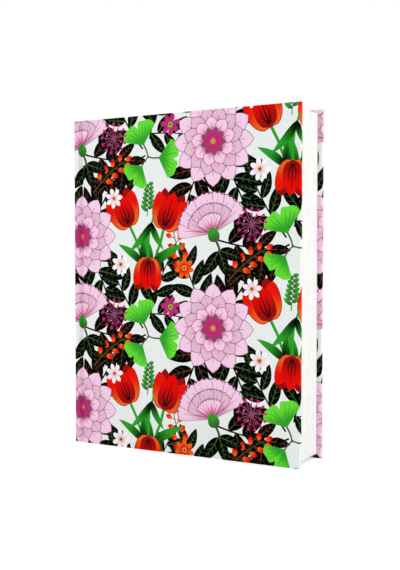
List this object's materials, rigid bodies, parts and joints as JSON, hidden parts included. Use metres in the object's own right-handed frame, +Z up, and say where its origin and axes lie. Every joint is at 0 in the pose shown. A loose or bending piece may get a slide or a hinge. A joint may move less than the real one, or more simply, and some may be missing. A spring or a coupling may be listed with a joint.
{
  "type": "hardcover notebook",
  "caption": "Case-bound lined notebook: printed hard covers hinge along grooves beside a flat spine, and the flyleaves and outer leaves turn with them around a sewn text block.",
  "frame": {"origin": "middle of the footprint of the closed book standing on its tail edge", "axes": "+X from the spine to the fore edge, +Y from the front cover to the back cover, +Z up from tail to head"},
  "size_m": [0.16, 0.035, 0.21],
  "materials": {
    "printed_wrap": "satin",
    "greyboard": "matte",
    "endpaper": "matte",
    "page_paper": "matte",
    "kraft_lining": "matte",
    "gauze": "matte",
    "sewing_thread": "matte",
    "headband": "satin"
  },
  "bodies": {
    "spine": {"spine_board": "greyboard", "spine_wrap": "printed_wrap", "front_joint": "printed_wrap", "back_joint": "printed_wrap", "section_01": "page_paper", "section_02": "page_paper", "section_03": "page_paper", "section_04": "page_paper", "section_05": "page_paper", "section_06": "page_paper", "section_07": "page_paper", "section_08": "page_paper", "section_09": "page_paper", "section_10": "page_paper", "section_11": "page_paper", "section_12": "page_paper", "spine_gauze": "gauze", "spine_lining": "kraft_lining", "head_band": "headband", "tail_band": "headband", "sewing_thread_1": "sewing_thread", "sewing_thread_2": "sewing_thread", "sewing_thread_3": "sewing_thread", "sewing_thread_4": "sewing_thread", "sewing_thread_5": "sewing_thread"},
    "front_cover": {"front_board": "greyboard", "front_wrap": "printed_wrap", "front_pastedown": "endpaper"},
    "back_cover": {"back_board": "greyboard", "back_wrap": "printed_wrap", "back_pastedown": "endpaper"},
    "front_flyleaf": {"front_flyleaf": "endpaper"},
    "front_leaf_1": {"front_leaf_1": "page_paper"},
    "front_leaf_2": {"front_leaf_2": "page_paper"},
    "front_leaf_3": {"front_leaf_3": "page_paper"},
    "front_leaf_4": {"front_leaf_4": "page_paper"},
    "front_leaf_5": {"front_leaf_5": "page_paper"},
    "front_leaf_6": {"front_leaf_6": "page_paper"},
    "front_leaf_7": {"front_leaf_7": "page_paper"},
    "front_leaf_8": {"front_leaf_8": "page_paper"},
    "back_flyleaf": {"back_flyleaf": "endpaper"},
    "back_leaf_1": {"back_leaf_1": "page_paper"},
    "back_leaf_2": {"back_leaf_2": "page_paper"},
    "back_leaf_3": {"back_leaf_3": "page_paper"},
    "back_leaf_4": {"back_leaf_4": "page_paper"},
    "back_leaf_5": {"back_leaf_5": "page_paper"},
    "back_leaf_6": {"back_leaf_6": "page_paper"},
    "back_leaf_7": {"back_leaf_7": "page_paper"},
    "back_leaf_8": {"back_leaf_8": "page_paper"}
  },
  "joints": [
    {"name": "front_cover_hinge", "type": "hinge", "parent": "spine", "child": "front_cover", "pos_m": [-0.0765, -0.016, 0.105], "axis": [0, 0, -1], "range_deg": [0, 178], "deforming": ["front_joint"]},
    {"name": "front_flyleaf_turn", "type": "hinge", "parent": "spine", "child": "front_flyleaf", "pos_m": [-0.0765, -0.016, 0.105], "axis": [0, 0, -1], "range_deg": [0, 160.3]},
    {"name": "front_leaf_1_turn", "type": "hinge", "parent": "spine", "child": "front_leaf_1", "pos_m": [-0.0765, -0.016, 0.105], "axis": [0, 0, -1], "range_deg": [0, 142.5]},
    {"name": "front_leaf_2_turn", "type": "hinge", "parent": "spine", "child": "front_leaf_2", "pos_m": [-0.0765, -0.016, 0.105], "axis": [0, 0, -1], "range_deg": [0, 124.7]},
    {"name": "front_leaf_3_turn", "type": "hinge", "parent": "spine", "child": "front_leaf_3", "pos_m": [-0.0765, -0.016, 0.105], "axis": [0, 0, -1], "range_deg": [0, 106.9]},
    {"name": "front_leaf_4_turn", "type": "hinge", "parent": "spine", "child": "front_leaf_4", "pos_m": [-0.0765, -0.016, 0.105], "axis": [0, 0, -1], "range_deg": [0, 89.1]},
    {"name": "front_leaf_5_turn", "type": "hinge", "parent": "spine", "child": "front_leaf_5", "pos_m": [-0.0765, -0.016, 0.105], "axis": [0, 0, -1], "range_deg": [0, 71.3]},
    {"name": "front_leaf_6_turn", "type": "hinge", "parent": "spine", "child": "front_leaf_6", "pos_m": [-0.0765, -0.016, 0.105], "axis": [0, 0, -1], "range_deg": [0, 53.5]},
    {"name": "front_leaf_7_turn", "type": "hinge", "parent": "spine", "child": "front_leaf_7", "pos_m": [-0.0765, -0.016, 0.105], "axis": [0, 0, -1], "range_deg": [0, 35.7]},
    {"name": "front_leaf_8_turn", "type": "hinge", "parent": "spine", "child": "front_leaf_8", "pos_m": [-0.0765, -0.016, 0.105], "axis": [0, 0, -1], "range_deg": [0, 17.9]},
    {"name": "back_cover_hinge", "type": "hinge", "parent": "spine", "child": "back_cover", "pos_m": [-0.0765, 0.016, 0.105], "axis": [0, 0, 1], "range_deg": [0, 178], "deforming": ["back_joint"]},
    {"name": "back_flyleaf_turn", "type": "hinge", "parent": "spine", "child": "back_flyleaf", "pos_m": [-0.0765, 0.016, 0.105], "axis": [0, 0, 1], "range_deg": [0, 160.3]},
    {"name": "back_leaf_1_turn", "type": "hinge", "parent": "spine", "child": "back_leaf_1", "pos_m": [-0.0765, 0.016, 0.105], "axis": [0, 0, 1], "range_deg": [0, 142.5]},
    {"name": "back_leaf_2_turn", "type": "hinge", "parent": "spine", "child": "back_leaf_2", "pos_m": [-0.0765, 0.016, 0.105], "axis": [0, 0, 1], "range_deg": [0, 124.7]},
    {"name": "back_leaf_3_turn", "type": "hinge", "parent": "spine", "child": "back_leaf_3", "pos_m": [-0.0765, 0.016, 0.105], "axis": [0, 0, 1], "range_deg": [0, 106.9]},
    {"name": "back_leaf_4_turn", "type": "hinge", "parent": "spine", "child": "back_leaf_4", "pos_m": [-0.0765, 0.016, 0.105], "axis": [0, 0, 1], "range_deg": [0, 89.1]},
    {"name": "back_leaf_5_turn", "type": "hinge", "parent": "spine", "child": "back_leaf_5", "pos_m": [-0.0765, 0.016, 0.105], "axis": [0, 0, 1], "range_deg": [0, 71.3]},
    {"name": "back_leaf_6_turn", "type": "hinge", "parent": "spine", "child": "back_leaf_6", "pos_m": [-0.0765, 0.016, 0.105], "axis": [0, 0, 1], "range_deg": [0, 53.5]},
    {"name": "back_leaf_7_turn", "type": "hinge", "parent": "spine", "child": "back_leaf_7", "pos_m": [-0.0765, 0.016, 0.105], "axis": [0, 0, 1], "range_deg": [0, 35.7]},
    {"name": "back_leaf_8_turn", "type": "hinge", "parent": "spine", "child": "back_leaf_8", "pos_m": [-0.0765, 0.016, 0.105], "axis": [0, 0, 1], "range_deg": [0, 17.9]}
  ],
  "couplings": [
    {"joint": "front_flyleaf_turn", "follows": "front_cover_hinge", "ratio": 0.9},
    {"joint": "front_leaf_1_turn", "follows": "front_cover_hinge", "ratio": 0.8},
    {"joint": "front_leaf_2_turn", "follows": "front_cover_hinge", "ratio": 0.7},
    {"joint": "front_leaf_3_turn", "follows": "front_cover_hinge", "ratio": 0.6},
    {"joint": "front_leaf_4_turn", "follows": "front_cover_hinge", "ratio": 0.5},
    {"joint": "front_leaf_5_turn", "follows": "front_cover_hinge", "ratio": 0.4},
    {"joint": "front_leaf_6_turn", "follows": "front_cover_hinge", "ratio": 0.3},
    {"joint": "front_leaf_7_turn", "follows": "front_cover_hinge", "ratio": 0.2},
    {"joint": "front_leaf_8_turn", "follows": "front_cover_hinge", "ratio": 0.1},
    {"joint": "back_flyleaf_turn", "follows": "back_cover_hinge", "ratio": 0.9},
    {"joint": "back_leaf_1_turn", "follows": "back_cover_hinge", "ratio": 0.8},
    {"joint": "back_leaf_2_turn", "follows": "back_cover_hinge", "ratio": 0.7},
    {"joint": "back_leaf_3_turn", "follows": "back_cover_hinge", "ratio": 0.6},
    {"joint": "back_leaf_4_turn", "follows": "back_cover_hinge", "ratio": 0.5},
    {"joint": "back_leaf_5_turn", "follows": "back_cover_hinge", "ratio": 0.4},
    {"joint": "back_leaf_6_turn", "follows": "back_cover_hinge", "ratio": 0.3},
    {"joint": "back_leaf_7_turn", "follows": "back_cover_hinge", "ratio": 0.2},
    {"joint": "back_leaf_8_turn", "follows": "back_cover_hinge", "ratio": 0.1}
  ]
}
